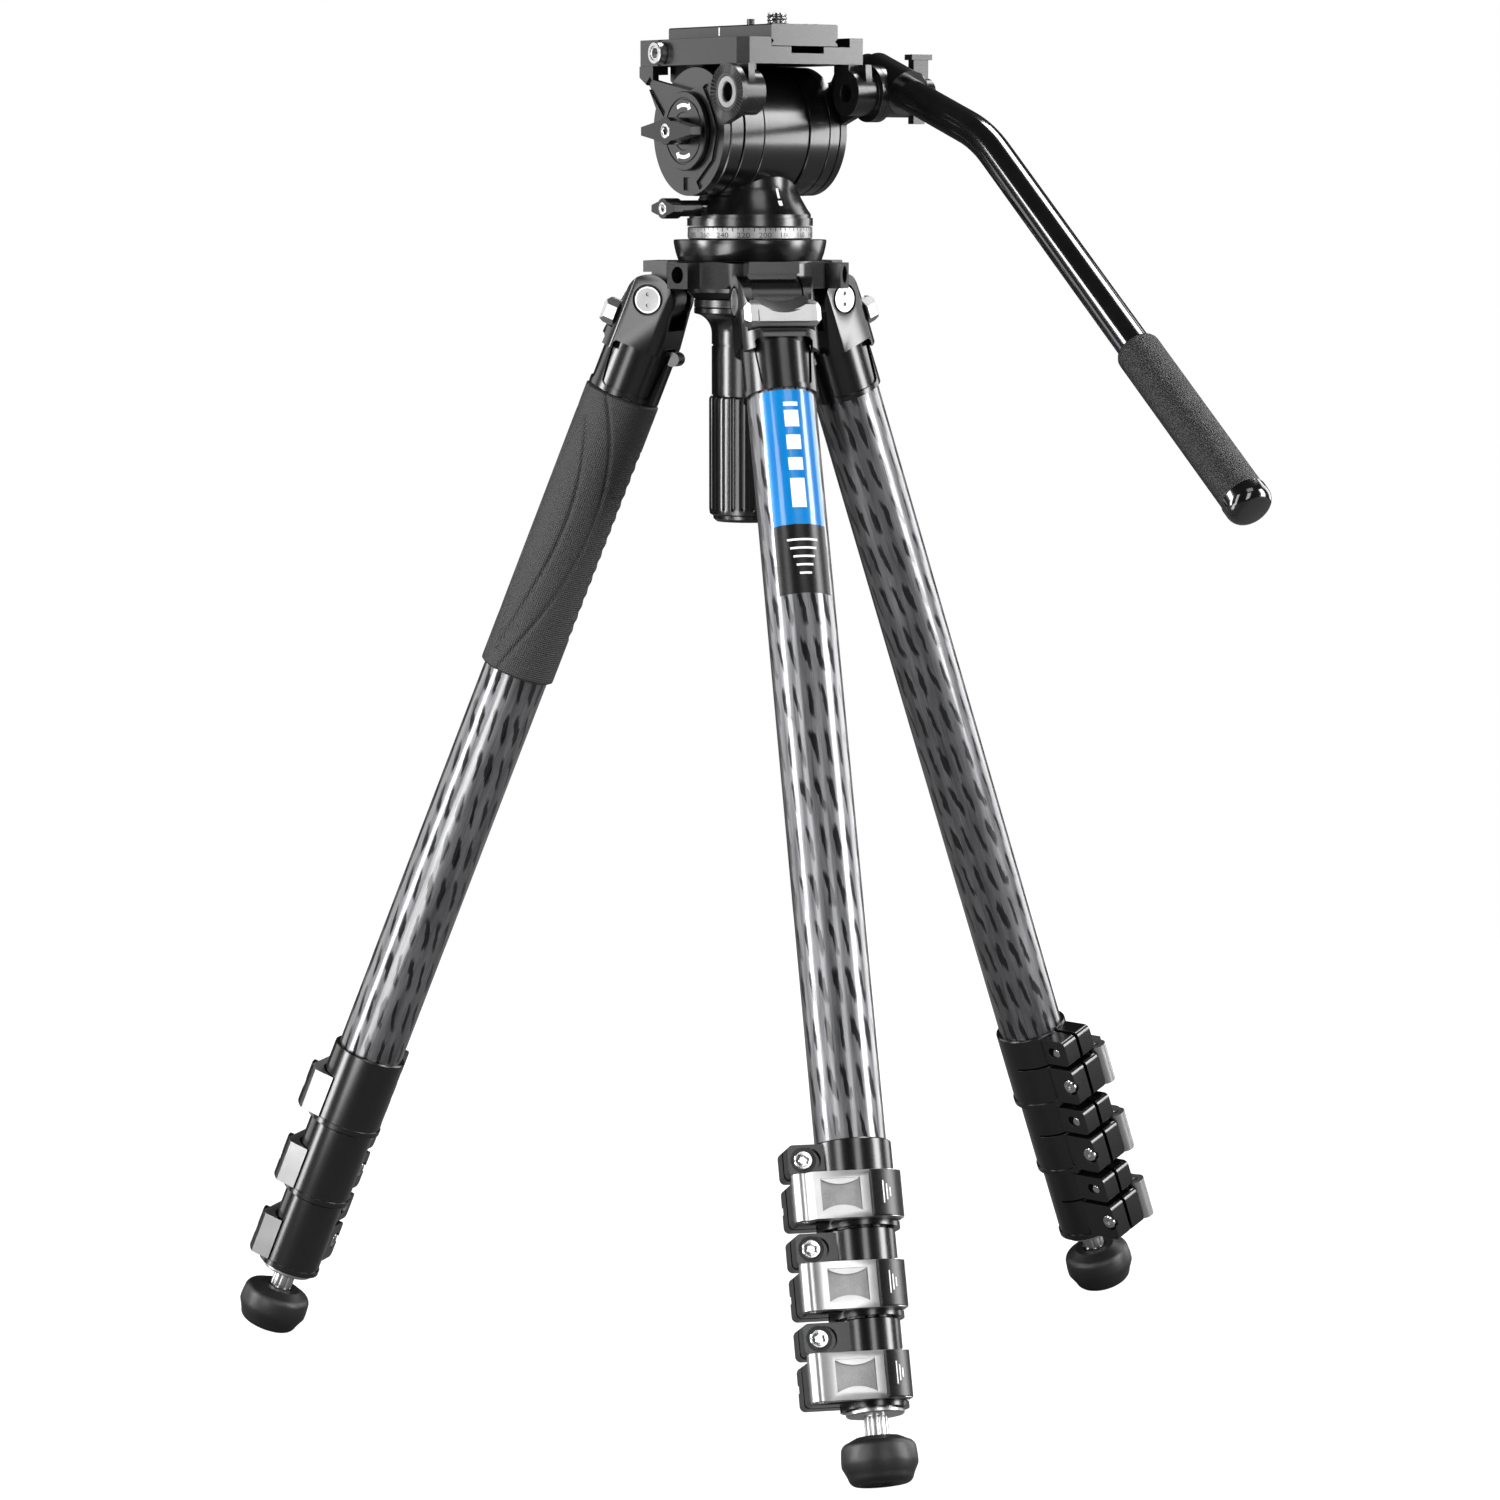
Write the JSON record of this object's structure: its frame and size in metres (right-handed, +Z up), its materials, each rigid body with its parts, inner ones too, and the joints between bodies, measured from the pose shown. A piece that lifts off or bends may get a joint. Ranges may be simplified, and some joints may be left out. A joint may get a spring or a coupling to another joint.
{
  "type": "video tripod with fluid head",
  "caption": "Three-legged carbon video tripod with flip locks, a levelling bowl and handle, and a small fluid head with a pan bar and quick-release plate.",
  "frame": {"origin": "on the floor under the pan axis, the three feet standing on z = 0", "axes": "+Z up, +Y the way the lens looks, +X the side that carries the pan bar"},
  "size_m": [0.4358, 0.5348, 0.6485],
  "materials": {
    "black_anodised": "black anodised, fine bead-blasted",
    "black_satin": "black anodised, satin turned",
    "black_gloss": "gloss black lacquer",
    "silver": "satin silver anodised",
    "steel": "turned stainless steel",
    "carbon": "clear-coated carbon fibre, long streaks round the tube",
    "black_plastic": "moulded, satin",
    "black_rubber": "matt moulded rubber",
    "grip_foam": "grained dense foam",
    "knit_sleeve": "foam with a fine knitted skin and raised curved lines"
  },
  "bodies": {
    "stand": {"spider": "black_anodised", "pivot_pins": "steel"},
    "seat_washer": {"seat_washer": "black_anodised"},
    "ball": {"half_ball": "black_satin", "degree_ring": "silver"},
    "level_handle": {"level_handle": "black_satin"},
    "pan": {"pan_base": "black_satin", "tilt_drum": "black_satin"},
    "pan_lever": {"pan_lever": "black_plastic"},
    "tilt_lever": {"tilt_lever": "black_plastic"},
    "tilt": {"side_plate_left": "black_anodised", "side_plate_right": "black_anodised", "qr_clamp": "black_anodised"},
    "clamp_knob": {"clamp_knob": "steel"},
    "plate": {"qr_plate": "black_anodised"},
    "camera_screw": {"camera_screw": "steel"},
    "bar": {"bar_clamp": "black_plastic", "pan_bar": "black_gloss", "bar_grip": "grip_foam"},
    "bar_knob": {"bar_knob": "black_plastic"},
    "leg1": {"leg_root_leg1": "black_satin", "tube_1_leg1": "carbon", "collar_1_leg1": "black_satin"},
    "leg1_tab": {"angle_tab_leg1": "silver"},
    "leg1_section_2": {"tube_2_leg1": "carbon", "collar_2_leg1": "black_satin"},
    "leg1_section_3": {"tube_3_leg1": "carbon", "collar_3_leg1": "black_satin"},
    "leg1_section_4": {"tube_4_leg1": "carbon", "foot_leg1": "black_rubber"},
    "leg1_lever_1": {"lever_1_leg1": "silver"},
    "leg1_lever_2": {"lever_2_leg1": "silver"},
    "leg1_lever_3": {"lever_3_leg1": "silver"},
    "leg2": {"leg_root_leg2": "black_satin", "tube_1_leg2": "carbon", "collar_1_leg2": "black_satin", "leg_sleeve": "knit_sleeve"},
    "leg2_tab": {"angle_tab_leg2": "silver"},
    "leg2_section_2": {"tube_2_leg2": "carbon", "collar_2_leg2": "black_satin"},
    "leg2_section_3": {"tube_3_leg2": "carbon", "collar_3_leg2": "black_satin"},
    "leg2_section_4": {"tube_4_leg2": "carbon", "foot_leg2": "black_rubber"},
    "leg2_lever_1": {"lever_1_leg2": "silver"},
    "leg2_lever_2": {"lever_2_leg2": "silver"},
    "leg2_lever_3": {"lever_3_leg2": "silver"},
    "leg3": {"leg_root_leg3": "black_satin", "tube_1_leg3": "carbon", "collar_1_leg3": "black_satin"},
    "leg3_tab": {"angle_tab_leg3": "silver"},
    "leg3_section_2": {"tube_2_leg3": "carbon", "collar_2_leg3": "black_satin"},
    "leg3_section_3": {"tube_3_leg3": "carbon", "collar_3_leg3": "black_satin"},
    "leg3_section_4": {"tube_4_leg3": "carbon", "foot_leg3": "black_rubber"},
    "leg3_lever_1": {"lever_1_leg3": "silver"},
    "leg3_lever_2": {"lever_2_leg3": "silver"},
    "leg3_lever_3": {"lever_3_leg3": "silver"}
  },
  "joints": [
    {"name": "level_pitch", "type": "hinge", "parent": "stand", "child": "seat_washer", "pos_m": [0, 0, 0.54657], "axis": [1, 0, 0], "range_deg": [-8, 8]},
    {"name": "level_roll", "type": "hinge", "parent": "seat_washer", "child": "ball", "pos_m": [0, 0, 0.54657], "axis": [0, 1, 0], "range_deg": [-8, 8]},
    {"name": "level_handle_turn", "type": "hinge", "parent": "ball", "child": "level_handle", "pos_m": [0, 0, 0.44657], "axis": [0, 0, 1], "range_deg": [-720, 0]},
    {"name": "pan_turn", "type": "hinge", "parent": "ball", "child": "pan", "pos_m": [0, 0, 0.54927], "axis": [0, 0, 1], "continuous": true},
    {"name": "pan_lever_turn", "type": "hinge", "parent": "pan", "child": "pan_lever", "pos_m": [-0.03, 0, 0.55757], "axis": [-1, 0, 0], "range_deg": [0, 120]},
    {"name": "tilt_lever_turn", "type": "hinge", "parent": "pan", "child": "tilt_lever", "pos_m": [-0.04, 0, 0.59357], "axis": [-1, 0, 0], "range_deg": [0, 120]},
    {"name": "tilt_turn", "type": "hinge", "parent": "pan", "child": "tilt", "pos_m": [0, 0, 0.59357], "axis": [1, 0, 0], "range_deg": [-75, 60]},
    {"name": "clamp_knob_turn", "type": "hinge", "parent": "tilt", "child": "clamp_knob", "pos_m": [-0.034, 0.0242, 0.63027], "axis": [-1, 0, 0], "range_deg": [0, 360]},
    {"name": "plate_slide", "type": "slide", "parent": "tilt", "child": "plate", "axis": [0, 1, 0], "range_m": [-0.02, 0.02]},
    {"name": "camera_screw_turn", "type": "hinge", "parent": "plate", "child": "camera_screw", "pos_m": [0.0014, -0.0205, 0.64267], "axis": [0, 0, 1], "range_deg": [0, 1440]},
    {"name": "bar_angle", "type": "hinge", "parent": "tilt", "child": "bar", "pos_m": [0.041, -0.0415, 0.61107], "axis": [-1, 0, 0], "range_deg": [-40, 60]},
    {"name": "bar_knob_turn", "type": "hinge", "parent": "bar", "child": "bar_knob", "pos_m": [0.064, -0.0415, 0.61107], "axis": [1, 0, 0], "range_deg": [0, 360]},
    {"name": "leg1_spread", "type": "hinge", "parent": "stand", "child": "leg1", "pos_m": [-0.01602, -0.04216, 0.51447], "axis": [-0.9348, 0.3551, 0], "range_deg": [-20, 52]},
    {"name": "leg1_tab_pull", "type": "slide", "parent": "leg1", "child": "leg1_tab", "axis": [-0.329, -0.8661, 0.3762], "range_m": [0, 0.004], "stiffness_N_per_m": 600},
    {"name": "leg1_extend_1", "type": "slide", "parent": "leg1", "child": "leg1_section_2", "axis": [-0.1336, -0.3517, -0.9265], "range_m": [0, 0.32]},
    {"name": "leg1_extend_2", "type": "slide", "parent": "leg1_section_2", "child": "leg1_section_3", "axis": [-0.1336, -0.3517, -0.9265], "range_m": [0, 0.32]},
    {"name": "leg1_extend_3", "type": "slide", "parent": "leg1_section_3", "child": "leg1_section_4", "axis": [-0.1336, -0.3517, -0.9265], "range_m": [0, 0.32]},
    {"name": "leg1_lever_1_open", "type": "hinge", "parent": "leg1", "child": "leg1_lever_1", "pos_m": [-0.10341, -0.19507, 0.12588], "axis": [-0.1336, -0.3517, -0.9265], "range_deg": [0, 140]},
    {"name": "leg1_lever_2_open", "type": "hinge", "parent": "leg1_section_2", "child": "leg1_lever_2", "pos_m": [-0.10872, -0.20904, 0.08909], "axis": [-0.1336, -0.3517, -0.9265], "range_deg": [0, 140]},
    {"name": "leg1_lever_3_open", "type": "hinge", "parent": "leg1_section_3", "child": "leg1_lever_3", "pos_m": [-0.11402, -0.223, 0.05231], "axis": [-0.1336, -0.3517, -0.9265], "range_deg": [0, 140]},
    {"name": "leg2_spread", "type": "hinge", "parent": "stand", "child": "leg2", "pos_m": [-0.0285, 0.03495, 0.51447], "axis": [0.7749, 0.632, 0], "range_deg": [-20, 52]},
    {"name": "leg2_tab_pull", "type": "slide", "parent": "leg2", "child": "leg2_tab", "axis": [-0.5856, 0.718, 0.3762], "range_m": [0, 0.004], "stiffness_N_per_m": 600},
    {"name": "leg2_extend_1", "type": "slide", "parent": "leg2", "child": "leg2_section_2", "axis": [-0.2378, 0.2916, -0.9265], "range_m": [0, 0.32]},
    {"name": "leg2_extend_2", "type": "slide", "parent": "leg2_section_2", "child": "leg2_section_3", "axis": [-0.2378, 0.2916, -0.9265], "range_m": [0, 0.32]},
    {"name": "leg2_extend_3", "type": "slide", "parent": "leg2_section_3", "child": "leg2_section_4", "axis": [-0.2378, 0.2916, -0.9265], "range_m": [0, 0.32]},
    {"name": "leg2_lever_1_open", "type": "hinge", "parent": "leg2", "child": "leg2_lever_1", "pos_m": [-0.11723, 0.18709, 0.12588], "axis": [-0.2378, 0.2916, -0.9265], "range_deg": [0, 140]},
    {"name": "leg2_lever_2_open", "type": "hinge", "parent": "leg2_section_2", "child": "leg2_lever_2", "pos_m": [-0.12667, 0.19867, 0.08909], "axis": [-0.2378, 0.2916, -0.9265], "range_deg": [0, 140]},
    {"name": "leg2_lever_3_open", "type": "hinge", "parent": "leg2_section_3", "child": "leg2_lever_3", "pos_m": [-0.13611, 0.21024, 0.05231], "axis": [-0.2378, 0.2916, -0.9265], "range_deg": [0, 140]},
    {"name": "leg3_spread", "type": "hinge", "parent": "stand", "child": "leg3", "pos_m": [0.04452, 0.00721, 0.51447], "axis": [0.1599, -0.9871, 0], "range_deg": [-20, 52]},
    {"name": "leg3_tab_pull", "type": "slide", "parent": "leg3", "child": "leg3_tab", "axis": [0.9146, 0.1481, 0.3762], "range_m": [0, 0.004], "stiffness_N_per_m": 600},
    {"name": "leg3_extend_1", "type": "slide", "parent": "leg3", "child": "leg3_section_2", "axis": [0.3714, 0.0602, -0.9265], "range_m": [0, 0.32]},
    {"name": "leg3_extend_2", "type": "slide", "parent": "leg3_section_2", "child": "leg3_section_3", "axis": [0.3714, 0.0602, -0.9265], "range_m": [0, 0.32]},
    {"name": "leg3_extend_3", "type": "slide", "parent": "leg3_section_3", "child": "leg3_section_4", "axis": [0.3714, 0.0602, -0.9265], "range_m": [0, 0.32]},
    {"name": "leg3_lever_1_open", "type": "hinge", "parent": "leg3", "child": "leg3_lever_1", "pos_m": [0.22064, 0.00798, 0.12588], "axis": [0.3714, 0.0602, -0.9265], "range_deg": [0, 140]},
    {"name": "leg3_lever_2_open", "type": "hinge", "parent": "leg3_section_2", "child": "leg3_lever_2", "pos_m": [0.23539, 0.01037, 0.08909], "axis": [0.3714, 0.0602, -0.9265], "range_deg": [0, 140]},
    {"name": "leg3_lever_3_open", "type": "hinge", "parent": "leg3_section_3", "child": "leg3_lever_3", "pos_m": [0.25013, 0.01276, 0.05231], "axis": [0.3714, 0.0602, -0.9265], "range_deg": [0, 140]}
  ]
}
